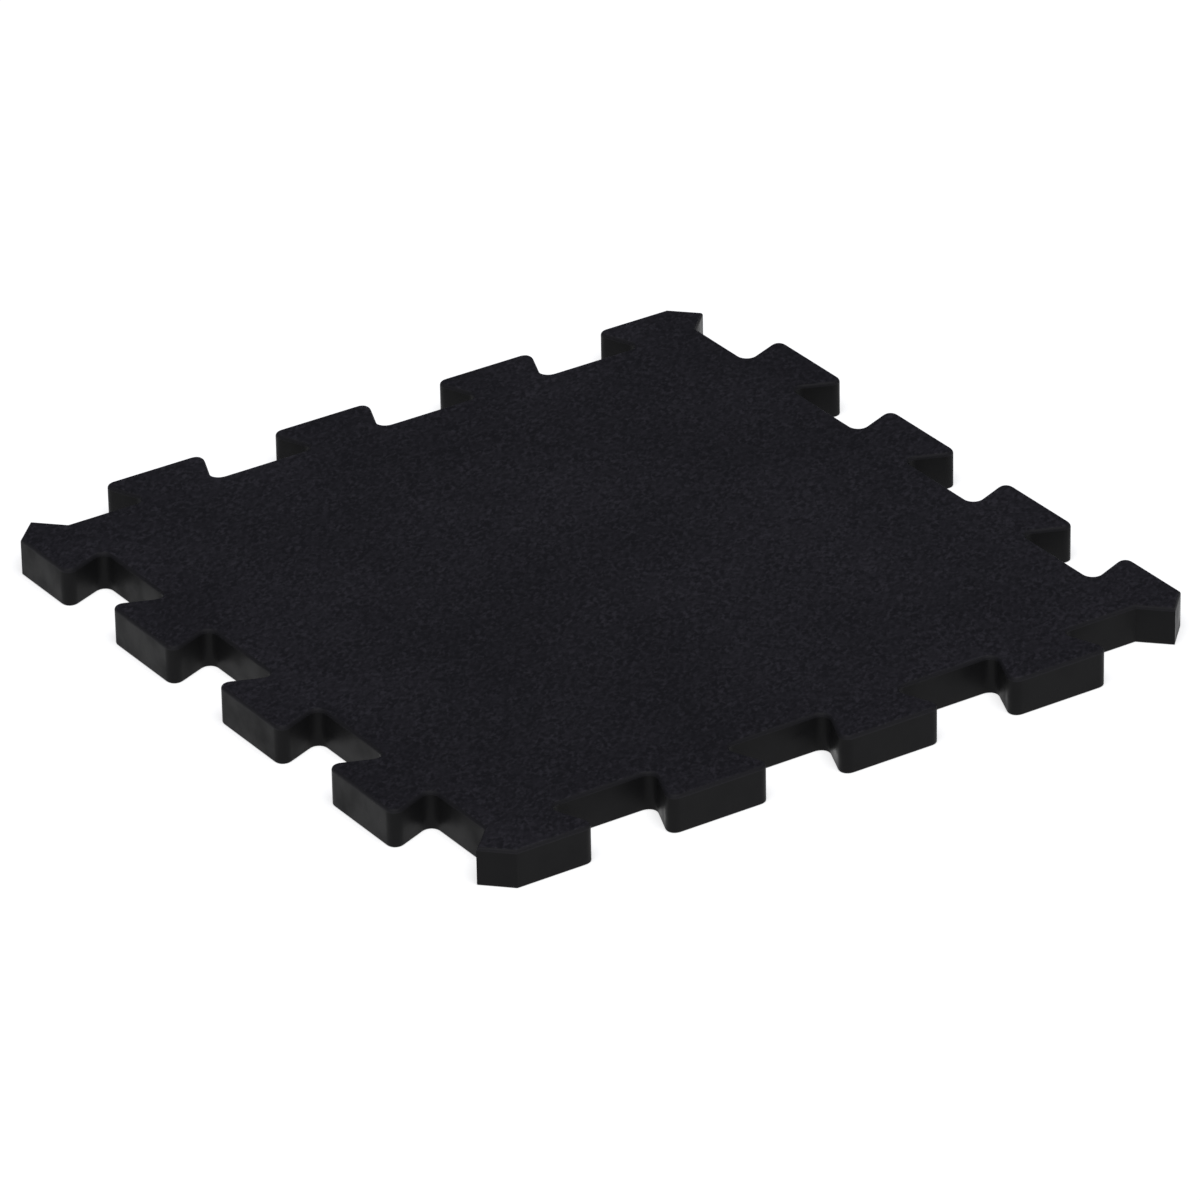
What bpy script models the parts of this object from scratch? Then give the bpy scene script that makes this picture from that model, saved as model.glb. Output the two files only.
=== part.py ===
"""Interlocking rubber floor tile, moulded in one piece.

The tile lies flat: the origin is the middle of its underside, +Z is up through its thickness,
and its sides run along X and Y. Each side has four dovetail tabs and four slots, and each side
is the one before it turned a quarter turn, so a tile locks into any neighbour that lies the
same way round. Metres.
"""

import math

import bmesh
import bpy
from mathutils import Matrix, Vector

# Driving dimensions
MODULE = 0.300  # one laid tile to the next
THICKNESS = 0.015
TABS_PER_SIDE = 4
TAB_PITCH = 0.0733  # one tab to the next along a side
TAB_LENGTH = 0.0204  # from the bottoms of the slots to the ends of the tabs
TAB_WIDTH = 0.045  # across a tab's end, where it is widest
CORNER_CUT = 0.0102  # how far a corner tab's slanted side reaches along the tile's side
CORNER_RADIUS = 0.0034  # upright corners of the tabs and slots
SEAM_GAP = 0.0003  # between two laid tiles, half of it on each tile
TOP_ROUND = 0.0015  # rounding of the upper edge
FOOT_ROUND = 0.0005  # rounding of the lower edge

# How finely the round stretches are cut
CORNER_STEPS = 6
TOP_STEPS = 2
FOOT_STEPS = 1
SAME_HEIGHT = 1e-6

# Worked out from them
TAB_END = (TAB_LENGTH - SEAM_GAP) / 2  # how far a tab stands out of the module's side
SLOT_BOTTOM = (TAB_LENGTH + SEAM_GAP) / 2  # how far a slot is cut into it
FLANK_SLOPE = (TAB_WIDTH - TAB_PITCH / 2) / TAB_LENGTH  # how fast a tab widens outwards
FLANK_GAP = SEAM_GAP / 2 * math.hypot(1, FLANK_SLOPE)
CORNER_SLOPE = CORNER_CUT / (TAB_LENGTH / 2)  # how fast a corner tab narrows outwards
CORNER_GAP = SEAM_GAP / 2 * math.hypot(1, CORNER_SLOPE)
FIRST_TAB = (MODULE - (TABS_PER_SIDE - 0.5) * TAB_PITCH) / 2  # from the corner to its middle

RUBBER_COLOUR = (0.0137, 0.0137, 0.0168, 1.0)
RUBBER_ROUGHNESS = 0.85


def half_width(outwards):
    """Half the width of a tab, this far outside the module's side."""
    return TAB_PITCH / 4 + FLANK_SLOPE * outwards - FLANK_GAP


def meeting_corner():
    """The tile's own corner where four tiles meet, set back by the seam from the module's at 0, 0."""
    return Vector((1 + CORNER_SLOPE, CORNER_SLOPE - 1)).normalized() * SEAM_GAP / 2 * math.sqrt(2)


def side_corners():
    """One side's corners and their radii, along X from the module's corner at 0, 0."""
    corners = [
        (meeting_corner(), 0),
        (Vector((CORNER_SLOPE * TAB_END + CORNER_GAP, -TAB_END)), 0),
    ]
    for tab in range(TABS_PER_SIDE):
        middle = FIRST_TAB + tab * TAB_PITCH
        neck, end = half_width(-SLOT_BOTTOM), half_width(TAB_END)
        if tab > 0:
            corners.append((Vector((middle - neck, SLOT_BOTTOM)), CORNER_RADIUS))
            corners.append((Vector((middle - end, -TAB_END)), CORNER_RADIUS))
        corners.append((Vector((middle + end, -TAB_END)), CORNER_RADIUS))
        corners.append((Vector((middle + neck, SLOT_BOTTOM)), CORNER_RADIUS))
    slanted_end = MODULE - CORNER_SLOPE * SLOT_BOTTOM + CORNER_GAP
    corners.append((Vector((slanted_end, SLOT_BOTTOM)), 0))
    return corners


def tile_corners():
    """The whole outline's corners, counter-clockwise: one side, turned a quarter turn each time."""
    middle = Vector((MODULE / 2, MODULE / 2))
    corners = []
    for quarter in range(4):
        turn = Matrix.Rotation(quarter * math.pi / 2, 2)
        corners += [(turn @ (point - middle), radius) for point, radius in side_corners()]
    return corners


def rounded_corner(before, point, after, radius):
    """The points of an arc of this radius that touches both of the corner's sides."""
    to_before = (before - point).normalized()
    to_after = (after - point).normalized()
    half_angle = to_before.angle(to_after) / 2
    centre = point + (to_before + to_after).normalized() * radius / math.sin(half_angle)
    start = point + to_before * radius / math.tan(half_angle) - centre
    sweep = start.angle_signed(point + to_after * radius / math.tan(half_angle) - centre)
    steps = range(CORNER_STEPS + 1)
    return [centre + Matrix.Rotation(-sweep * step / CORNER_STEPS, 2) @ start for step in steps]


def outline():
    corners = tile_corners()
    points = []
    for index, (point, radius) in enumerate(corners):
        before = corners[index - 1][0]
        after = corners[(index + 1) % len(corners)][0]
        points += rounded_corner(before, point, after, radius) if radius else [point]
    return points


def rim_edges(mesh, height):
    """The edges that run round the tile at this height."""
    def at_height(edge):
        return all(abs(vert.co.z - height) < SAME_HEIGHT for vert in edge.verts)
    return [edge for edge in mesh.edges if at_height(edge)]


def tile_mesh():
    """The outline, raised to the tile's thickness, with its upper and lower edges rounded."""
    mesh = bmesh.new()
    underside = mesh.faces.new([mesh.verts.new((x, y, 0)) for x, y in outline()])
    raised = bmesh.ops.extrude_face_region(mesh, geom=[underside], use_keep_orig=True)
    top_verts = [item for item in raised["geom"] if isinstance(item, bmesh.types.BMVert)]
    bmesh.ops.translate(mesh, verts=top_verts, vec=(0, 0, THICKNESS))
    bmesh.ops.recalc_face_normals(mesh, faces=mesh.faces)
    for height, radius, steps in ((THICKNESS, TOP_ROUND, TOP_STEPS), (0, FOOT_ROUND, FOOT_STEPS)):
        bmesh.ops.bevel(mesh, geom=rim_edges(mesh, height), offset=radius, segments=steps,
                        profile=0.5, affect="EDGES", clamp_overlap=False)
    return mesh


def rubber():
    material = bpy.data.materials.new("black_rubber")
    material.use_nodes = True
    shader = material.node_tree.nodes["Principled BSDF"]
    shader.inputs["Base Color"].default_value = RUBBER_COLOUR
    shader.inputs["Roughness"].default_value = RUBBER_ROUGHNESS
    shader.inputs["Metallic"].default_value = 0.0
    material.diffuse_color = RUBBER_COLOUR
    return material


def build_tile():
    mesh = bpy.data.meshes.new("floor_tile")
    shape = tile_mesh()
    shape.to_mesh(mesh)
    shape.free()
    mesh.materials.append(rubber())
    mesh.shade_smooth()
    mesh.set_sharp_from_angle(angle=math.radians(30))
    tile = bpy.data.objects.new("floor_tile", mesh)
    bpy.context.collection.objects.link(tile)
    return tile


def clear_scene():
    for item in list(bpy.data.objects):
        bpy.data.objects.remove(item, do_unlink=True)


clear_scene()
build_tile()
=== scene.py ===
import math

import bmesh
import bpy
from mathutils import Matrix, Vector, noise


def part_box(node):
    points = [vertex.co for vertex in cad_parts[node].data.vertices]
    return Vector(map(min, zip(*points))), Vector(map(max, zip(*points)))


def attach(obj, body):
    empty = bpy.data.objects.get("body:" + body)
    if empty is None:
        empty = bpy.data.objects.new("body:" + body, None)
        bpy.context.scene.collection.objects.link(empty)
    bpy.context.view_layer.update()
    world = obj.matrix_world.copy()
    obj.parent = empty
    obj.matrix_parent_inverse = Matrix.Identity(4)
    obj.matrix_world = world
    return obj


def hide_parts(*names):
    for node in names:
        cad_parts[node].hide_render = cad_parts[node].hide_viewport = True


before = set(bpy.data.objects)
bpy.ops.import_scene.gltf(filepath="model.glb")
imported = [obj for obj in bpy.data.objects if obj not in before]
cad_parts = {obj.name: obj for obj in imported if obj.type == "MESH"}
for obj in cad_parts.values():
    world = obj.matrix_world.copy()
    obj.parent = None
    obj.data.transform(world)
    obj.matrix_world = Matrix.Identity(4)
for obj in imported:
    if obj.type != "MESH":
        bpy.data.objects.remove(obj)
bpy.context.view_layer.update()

mm = 0.001
tileLow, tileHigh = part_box("floor_tile")
thickness = tileHigh.z
print("frame loaded, tile is", [round((b - a) / mm, 1) for a, b in zip(tileLow, tileHigh)], "mm")

# outline of the tile; its width over all and its thickness come from the frame
tile = {
    "seam": 0.3 * mm,          # left between two laid tiles
    "tabs": 4,                 # on each side
    "tabPitch": 73.3 * mm,     # one tab to the next
    "tabLength": 20.4 * mm,    # slot bottom to tab end
    "tabWidth": 45.0 * mm,     # at the tab's end, its widest place
    "cornerCut": 10.2 * mm,    # how far a corner tab's slanted side runs along the tile
    "cornerRound": 3.4 * mm,   # upright corners of tabs and slots
    "cornerSteps": 12,
    "topRound": 1.5 * mm,      # rim of the walking face
    "topSteps": 6,
    "footRound": 0.5 * mm,     # rim of the underside
    "footSteps": 3,
    "crease": 35,              # degrees, a sharper edge than this isn't shaded smooth
    "snap": 0.01 * mm,         # closer than this is the same place
}

# soft unevenness of the walking face, cut into the mesh
relief = {
    "cell": 1.1 * mm,          # grid that the walking face is cut into
    "lump": 2.8 * mm,          # size of one lump
    "depth": 0.14 * mm,        # lowest place to highest
    "finer": 2.3,              # a second layer has lumps this many times smaller
    "finerShare": 0.5,         # and this much of their height
    "band": 0.21 * mm,         # what lies above this depth has the finish of the walking face
}


def sideChain():
    # one side along +X, from its corner tab to the next side's corner: (point, rounded or not)
    flank = (tile["tabWidth"] - tile["tabPitch"] / 2) / tile["tabLength"]
    slant = tile["cornerCut"] / (tile["tabLength"] / 2)
    tabEnd = (tile["tabLength"] - tile["seam"]) / 2
    slotBottom = (tile["tabLength"] + tile["seam"]) / 2
    module = tileHigh.x - tileLow.x - 2 * tabEnd
    flankSeam = tile["seam"] / 2 * math.hypot(1, flank)
    slantSeam = tile["seam"] / 2 * math.hypot(1, slant)
    tabHalf = tile["tabPitch"] / 4 + flank * tabEnd - flankSeam
    neckHalf = tile["tabPitch"] / 4 - flank * slotBottom - flankSeam
    middle = (module - (tile["tabs"] - 0.5) * tile["tabPitch"]) / 2
    meeting = slantSeam / (1 + slant * slant)
    meeting = Vector((meeting * (1 + slant), meeting * (slant - 1), 0))

    chain = [(meeting, 0), (Vector((slant * tabEnd + slantSeam, -tabEnd, 0)), 0)]
    for tab in range(tile["tabs"]):
        if tab:
            chain.append((Vector((middle - neckHalf, slotBottom, 0)), 1))
            chain.append((Vector((middle - tabHalf, -tabEnd, 0)), 1))
        chain.append((Vector((middle + tabHalf, -tabEnd, 0)), 1))
        chain.append((Vector((middle + neckHalf, slotBottom, 0)), 1))
        middle += tile["tabPitch"]
    chain.append((Vector((module - slant * slotBottom + slantSeam, slotBottom, 0)), 0))
    corner = Vector((module / 2, module / 2, 0))
    chain = [(point - corner, rounded) for point, rounded in chain]
    chain.append((Matrix.Rotation(math.pi / 2, 3, "Z") @ chain[0][0], 0))
    return chain, math.pi / 2 - math.atan(flank)


def slideForRound(radius, angle):
    # how far the vertex bevel slides along a corner of this angle to look like this radius
    half = angle / 2
    return radius * (1 / math.sin(half) - 1) / ((2 - math.sqrt(2)) * math.cos(half))


def makeBlank():
    # the side's chain, spun to four sides, filled, its corners rounded, then raised
    bm = bmesh.new()
    roundedLayer = bm.verts.layers.int.new("rounded")
    chain, tabAngle = sideChain()
    verts = [bm.verts.new(point) for point, rounded in chain]
    for vert, (point, rounded) in zip(verts, chain):
        vert[roundedLayer] = rounded
    edges = [bm.edges.new(pair) for pair in zip(verts, verts[1:])]
    bmesh.ops.spin(bm, geom=verts + edges, cent=(0, 0, 0), axis=(0, 0, 1), dvec=(0, 0, 0),
                   angle=math.radians(270), steps=3, use_duplicate=True)
    bmesh.ops.remove_doubles(bm, verts=bm.verts[:], dist=tile["snap"])
    bmesh.ops.contextual_create(bm, geom=bm.edges[:])
    corners = [vert for vert in bm.verts if vert[roundedLayer]]
    bmesh.ops.bevel(bm, geom=corners, affect="VERTICES", profile=0.5, material=-1,
                    offset=slideForRound(tile["cornerRound"], tabAngle),
                    segments=tile["cornerSteps"])
    raised = bmesh.ops.extrude_face_region(bm, geom=bm.faces[:], use_keep_orig=True)
    upper = [item for item in raised["geom"] if isinstance(item, bmesh.types.BMVert)]
    bmesh.ops.translate(bm, verts=upper, vec=(0, 0, thickness))
    bmesh.ops.recalc_face_normals(bm, faces=bm.faces[:])
    return bm


def roundRim(bm, height, radius, steps):
    rim = [edge for edge in bm.edges
           if all(abs(vert.co.z - height) < tile["snap"] for vert in edge.verts)]
    bmesh.ops.bevel(bm, geom=rim, affect="EDGES", offset=radius, segments=steps,
                    profile=0.5, material=-1, clamp_overlap=False)


def cutIntoCells(bm, faces, axis, low, high):
    # halves the faces again and again, down to the width of a cell
    cells = round((high - low) / relief["cell"])
    if cells < 2 or not faces:
        return faces
    place = low + (high - low) * (cells // 2) / cells
    normal = Vector((axis == 0, axis == 1, 0))
    # a dict lists each part once and in a fixed order
    around = dict.fromkeys(part for face in faces for part in (*face.edges, *face.verts))
    cut = bmesh.ops.bisect_plane(bm, geom=faces + list(around), dist=tile["snap"],
                                 plane_co=normal * place, plane_no=normal)
    faces = [item for item in cut["geom"] if isinstance(item, bmesh.types.BMFace)]
    lower = [face for face in faces if face.calc_center_median()[axis] < place]
    upper = [face for face in faces if face.calc_center_median()[axis] >= place]
    return cutIntoCells(bm, lower, axis, low, place) + cutIntoCells(bm, upper, axis, place, high)


def roughenTop(bm):
    upward = [face for face in bm.faces if face.normal.z > 0]
    top = [max(upward, key=lambda face: face.calc_area())]
    for axis in (0, 1):
        top = cutIntoCells(bm, top, axis, tileLow[axis], tileHigh[axis])
    topFaces = set(top)
    # the rim's uppermost faces took on the cells' points, so they are split into good triangles
    beside = [face for face in bm.faces if face not in topFaces
              and any(other in topFaces for edge in face.edges for other in edge.link_faces)]
    bmesh.ops.triangulate(bm, faces=beside, quad_method="BEAUTY", ngon_method="BEAUTY")
    # the top's own edge stays level, so that it meets the rim
    inner = [vert for vert in {vert for face in top for vert in face.verts}
             if all(face in topFaces for face in vert.link_faces)]
    for vert in inner:
        here = vert.co / relief["lump"]
        lump = noise.noise(here) + relief["finerShare"] * noise.noise(here * relief["finer"])
        vert.co.z -= relief["depth"] * min(max(0.5 + 0.5 * lump, 0), 1)
    for face in bm.faces:
        face.smooth = True
    return len(top)


def makeTile():
    bm = makeBlank()
    roundRim(bm, thickness, tile["topRound"], tile["topSteps"])
    roundRim(bm, 0, tile["footRound"], tile["footSteps"])
    cells = roughenTop(bm)
    mesh = bpy.data.meshes.new("rubber_tile")
    bm.to_mesh(mesh)
    bm.free()
    mesh.set_sharp_from_angle(angle=math.radians(tile["crease"]))
    piece = bpy.data.objects.new("rubber_tile", mesh)
    bpy.context.scene.collection.objects.link(piece)
    flatSides = piece.modifiers.new("flat_sides", "WEIGHTED_NORMAL")
    flatSides.keep_sharp = True
    mesh.calc_loop_triangles()
    print("tile modelled,", cells, "cells on top,", len(mesh.loop_triangles), "triangles")
    return piece


# colour and finish of the rubber; the shines are specular levels
rubber = {
    # the pits' colour is the grain's darker tone and also painted shade in its hollows
    "pits": (0.0039, 0.0036, 0.0062, 1),       # low places of the grain
    "crowns": (0.0240, 0.0222, 0.0286, 1),     # high places of the grain
    "grain": 1.7 * mm,         # size of one mark of the grain
    "pebble": 1.25 * mm,       # size of one pebble between the marks
    "pebbleDepth": 0.55,       # how far the pebbles' gaps lie below their middles
    "stretch": 1.5,            # how much longer than wide the marks are, along the diagonal
    "markSpan": (0.34, 0.70),  # the noise's values from the foot of a mark to its head
    "heights": (-0.3, 0.75),   # heights of the grain that count as a pit and as a crown
    "sparse": 1.6,             # above 1, the pale flecks get fewer
    "patch": 7 * mm,           # size of the patches where the grain is fainter
    "patchSpan": (0.35, 0.6),  # the noise's values from a faint patch to a strong one
    "faintest": 0.35,          # what is left of the grain's contrast in a faint patch
    "cloud": 55 * mm,          # size of the slow changes from paler to darker
    "cloudDepth": 0.13,        # how far they go, where pits to crowns is 1
    "grainDepth": 0.20 * mm,
    "topRough": 0.70,
    "topPolish": 0.12,         # how much smoother the crowns are, and rougher the pits
    "topShine": 0.26,
    "rim": (0.0120, 0.0116, 0.0138, 1),
    "rimRough": 0.65,          # the rounded rim, rubbed smooth
    "rimShine": 0.17,
    "sides": (0.0101, 0.0101, 0.0105, 1),
    "sideRough": 0.43,
    "sideShine": 0.061,
    "skin": 1.8 * mm,          # faint waves of the moulded sides
    "skinDepth": 0.02 * mm,
    "smudge": 12 * mm,         # size of the faint smudges on the sides
    "smudgeRough": 0.16,       # how much rougher or smoother they are
    "noiseSpan": (0.3, 0.7),   # where most of a noise's values lie, for clouds and smudges
}


def newMaterial(name, colour, rough, shine):
    material = bpy.data.materials.new(name)
    material.use_nodes = True
    shader = material.node_tree.nodes["Principled BSDF"]
    shader.inputs["Base Color"].default_value = colour
    shader.inputs["Roughness"].default_value = rough
    shader.inputs["Specular IOR Level"].default_value = shine
    return material, shader


def addNode(tree, kind, place, **values):
    # a node at this place in the tree, with its settings and its inputs' values
    node = tree.nodes.new("ShaderNode" + kind)
    node.location = place
    for name, value in values.items():
        if hasattr(node, name):
            setattr(node, name, value)
        else:
            node.inputs[name.replace("_", " ")].default_value = value
    return node


def addRange(tree, place, span, to):
    # turns values between the span's two ends into values between the other two
    return addNode(tree, "MapRange", place, From_Min=span[0], From_Max=span[1],
                   To_Min=to[0], To_Max=to[1])


def grainedTop():
    # worn grain of the walking face: pebbles with short marks between them, with painted shade
    # darkening the pits
    material, shader = newMaterial("grained_rubber", rubber["pits"], rubber["topRough"],
                                   rubber["topShine"])
    tree = material.node_tree
    link = tree.links.new
    coords = addNode(tree, "TexCoord", (-1600, 0))
    along = addNode(tree, "Mapping", (-1400, 0), vector_type="TEXTURE",
                    Rotation=(0, 0, math.radians(45)), Scale=(rubber["stretch"], 1, 1))
    link(coords.outputs["Object"], along.inputs["Vector"])
    marks = addNode(tree, "TexNoise", (-1100, 200), Scale=1 / rubber["grain"], Detail=1.0,
                    Roughness=0.6, Distortion=0.4)
    link(along.outputs["Vector"], marks.inputs["Vector"])
    pebbles = addNode(tree, "TexVoronoi", (-1100, -200), feature="SMOOTH_F1",
                      Scale=1 / rubber["pebble"], Smoothness=0.5)
    link(along.outputs["Vector"], pebbles.inputs["Vector"])
    lifted = addRange(tree, (-850, 200), rubber["markSpan"], (0, 1))
    link(marks.outputs["Fac"], lifted.inputs["Value"])
    height = addNode(tree, "Math", (-650, 0), operation="MULTIPLY_ADD")
    height.inputs[1].default_value = -rubber["pebbleDepth"]
    link(pebbles.outputs["Distance"], height.inputs[0])
    link(lifted.outputs["Result"], height.inputs[2])
    bump = addNode(tree, "Bump", (-350, -300), Strength=1.0, Distance=rubber["grainDepth"])
    link(height.outputs["Value"], bump.inputs["Height"])
    link(bump.outputs["Normal"], shader.inputs["Normal"])

    # grainAndPitShade goes from 0 in the pits to 1 on the crowns: the height times its contrast,
    # plus the tone; its low end is painted shade in the grain's hollows as well as the grain's own
    # darker tone
    patches = addNode(tree, "TexNoise", (-1100, 500), Scale=1 / rubber["patch"], Detail=2.0)
    link(coords.outputs["Object"], patches.inputs["Vector"])
    contrast = addRange(tree, (-850, 500), rubber["patchSpan"], (rubber["faintest"], 1))
    link(patches.outputs["Fac"], contrast.inputs["Value"])
    around = addRange(tree, (-650, 250), rubber["heights"], (-0.5, 0.5))
    link(height.outputs["Value"], around.inputs["Value"])
    clouds = addNode(tree, "TexNoise", (-1100, 800), Scale=1 / rubber["cloud"], Detail=2.0)
    link(coords.outputs["Object"], clouds.inputs["Vector"])
    tone = addRange(tree, (-850, 800), rubber["noiseSpan"],
                    (0.5 - rubber["cloudDepth"], 0.5 + rubber["cloudDepth"]))
    link(clouds.outputs["Fac"], tone.inputs["Value"])
    grainAndPitShade = addNode(tree, "Math", (-450, 250), operation="MULTIPLY_ADD", use_clamp=True)
    link(around.outputs["Result"], grainAndPitShade.inputs[0])
    link(contrast.outputs["Result"], grainAndPitShade.inputs[1])
    link(tone.outputs["Result"], grainAndPitShade.inputs[2])

    flecks = addNode(tree, "Math", (-450, 450), operation="POWER")
    flecks.inputs[1].default_value = rubber["sparse"]
    link(grainAndPitShade.outputs["Value"], flecks.inputs[0])
    # the dark end of this mix is partly the grain's own tone and partly painted shade in the pits
    colour = addNode(tree, "Mix", (-250, 150), data_type="RGBA")
    colour.inputs[6].default_value = rubber["pits"]      # sockets 6 and 7 are the two colours
    colour.inputs[7].default_value = rubber["crowns"]
    link(flecks.outputs["Value"], colour.inputs["Factor"])
    link(colour.outputs[2], shader.inputs["Base Color"])
    polish = addRange(tree, (-250, -100), (0, 1), (rubber["topRough"] + rubber["topPolish"],
                                                   rubber["topRough"] - rubber["topPolish"]))
    link(grainAndPitShade.outputs["Value"], polish.inputs["Value"])
    link(polish.outputs["Result"], shader.inputs["Roughness"])
    return material


def rubbedRim():
    return newMaterial("rubbed_rim", rubber["rim"], rubber["rimRough"], rubber["rimShine"])[0]


def smoothSides():
    # the mould's smooth walls, faintly smudged
    material, shader = newMaterial("smooth_rubber", rubber["sides"], rubber["sideRough"],
                                   rubber["sideShine"])
    tree = material.node_tree
    link = tree.links.new
    coords = addNode(tree, "TexCoord", (-1000, 0))
    smudges = addNode(tree, "TexNoise", (-800, 0), Scale=1 / rubber["smudge"], Detail=4.0)
    link(coords.outputs["Object"], smudges.inputs["Vector"])
    rough = addRange(tree, (-400, 0), rubber["noiseSpan"],
                     (rubber["sideRough"] - rubber["smudgeRough"],
                      rubber["sideRough"] + rubber["smudgeRough"]))
    link(smudges.outputs["Fac"], rough.inputs["Value"])
    link(rough.outputs["Result"], shader.inputs["Roughness"])
    skin = addNode(tree, "TexNoise", (-800, -300), Scale=1 / rubber["skin"], Detail=3.0)
    link(coords.outputs["Object"], skin.inputs["Vector"])
    bump = addNode(tree, "Bump", (-400, -300), Strength=1.0, Distance=rubber["skinDepth"])
    link(skin.outputs["Fac"], bump.inputs["Height"])
    link(bump.outputs["Normal"], shader.inputs["Normal"])
    return material


def dressTile(piece):
    for finish in (grainedTop(), rubbedRim(), smoothSides()):
        piece.data.materials.append(finish)
    # a face's lowest point tells whether it belongs to the top, the rim or the sides
    topFrom = thickness - relief["band"]
    rimFrom = thickness - tile["topRound"] - tile["snap"]
    for face in piece.data.polygons:
        lowest = min(piece.data.vertices[index].co.z for index in face.vertices)
        face.material_index = 0 if lowest > topFrom else 1 if lowest > rimFrom else 2
    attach(piece, "root")
    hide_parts("floor_tile")
    print("tile dressed")


studio = {
    "floorSize": 30.0,
    "floorColour": (0.86, 0.86, 0.86, 1),
    "floorGlow": 0.50,         # keeps the floor white
    "sky": (0.070, 0.074, 0.095, 1),
    "overhead": 1.95,          # strength of the wide soft light above
    "overheadAngle": 50,       # degrees, how wide it is
    "overheadPlace": (-0.45, -0.85, 2.4),
}


def makeFloor():
    bm = bmesh.new()
    bmesh.ops.create_grid(bm, x_segments=1, y_segments=1, size=studio["floorSize"] / 2)
    mesh = bpy.data.meshes.new("studio_floor")
    bm.to_mesh(mesh)
    bm.free()
    floor = bpy.data.objects.new("studio_floor", mesh)
    bpy.context.scene.collection.objects.link(floor)
    material, shader = newMaterial("pale_floor", studio["floorColour"], 1.0, 0.0)  # quite matt
    shader.inputs["Emission Color"].default_value = (1, 1, 1, 1)
    shader.inputs["Emission Strength"].default_value = studio["floorGlow"]
    mesh.materials.append(material)


def makeLights():
    lamp = bpy.data.lights.new("overhead_softbox", "SUN")
    lamp.angle = math.radians(studio["overheadAngle"])
    lamp.energy = studio["overhead"]
    box = bpy.data.objects.new("overhead_softbox", lamp)
    box.location = studio["overheadPlace"]
    box.rotation_euler = Vector(studio["overheadPlace"]).to_track_quat("Z", "Y").to_euler()
    bpy.context.scene.collection.objects.link(box)

    world = bpy.data.worlds.new("studio")
    bpy.context.scene.world = world
    world.use_nodes = True
    world.node_tree.nodes["Background"].inputs["Color"].default_value = studio["sky"]
    bpy.context.scene.view_settings.view_transform = "Standard"


# where the photograph was taken from, in degrees and metres, with a lens in millimetres
camera = {
    "azimuth": -33.311,        # 0 looks along +Y
    "elevation": 27.812,
    "roll": -1.074,
    "distance": 3.1916,
    "aim": (1.24 * mm, -0.34 * mm, 0),
    "lens": 263.05,
    "sensor": 36.0,
}


def makeCamera():
    turns = (camera["azimuth"], camera["elevation"], camera["roll"])
    azimuth, elevation, roll = (math.radians(turn) for turn in turns)
    away = Vector((math.sin(azimuth) * math.cos(elevation),
                   -math.cos(azimuth) * math.cos(elevation), math.sin(elevation)))
    level = Vector((0, 0, 1)).cross(away).normalized()
    right = Matrix.Rotation(roll, 3, away) @ level
    data = bpy.data.cameras.new("photo_camera")
    data.lens = camera["lens"]
    data.sensor_width = camera["sensor"]
    view = bpy.data.objects.new("photo_camera", data)
    stand = Matrix.Translation(Vector(camera["aim"]) + away * camera["distance"])
    view.matrix_world = stand @ Matrix((right, away.cross(right), away)).transposed().to_4x4()
    bpy.context.scene.collection.objects.link(view)
    bpy.context.scene.camera = view


dressTile(makeTile())
makeFloor()
makeLights()
makeCamera()
print("studio set")
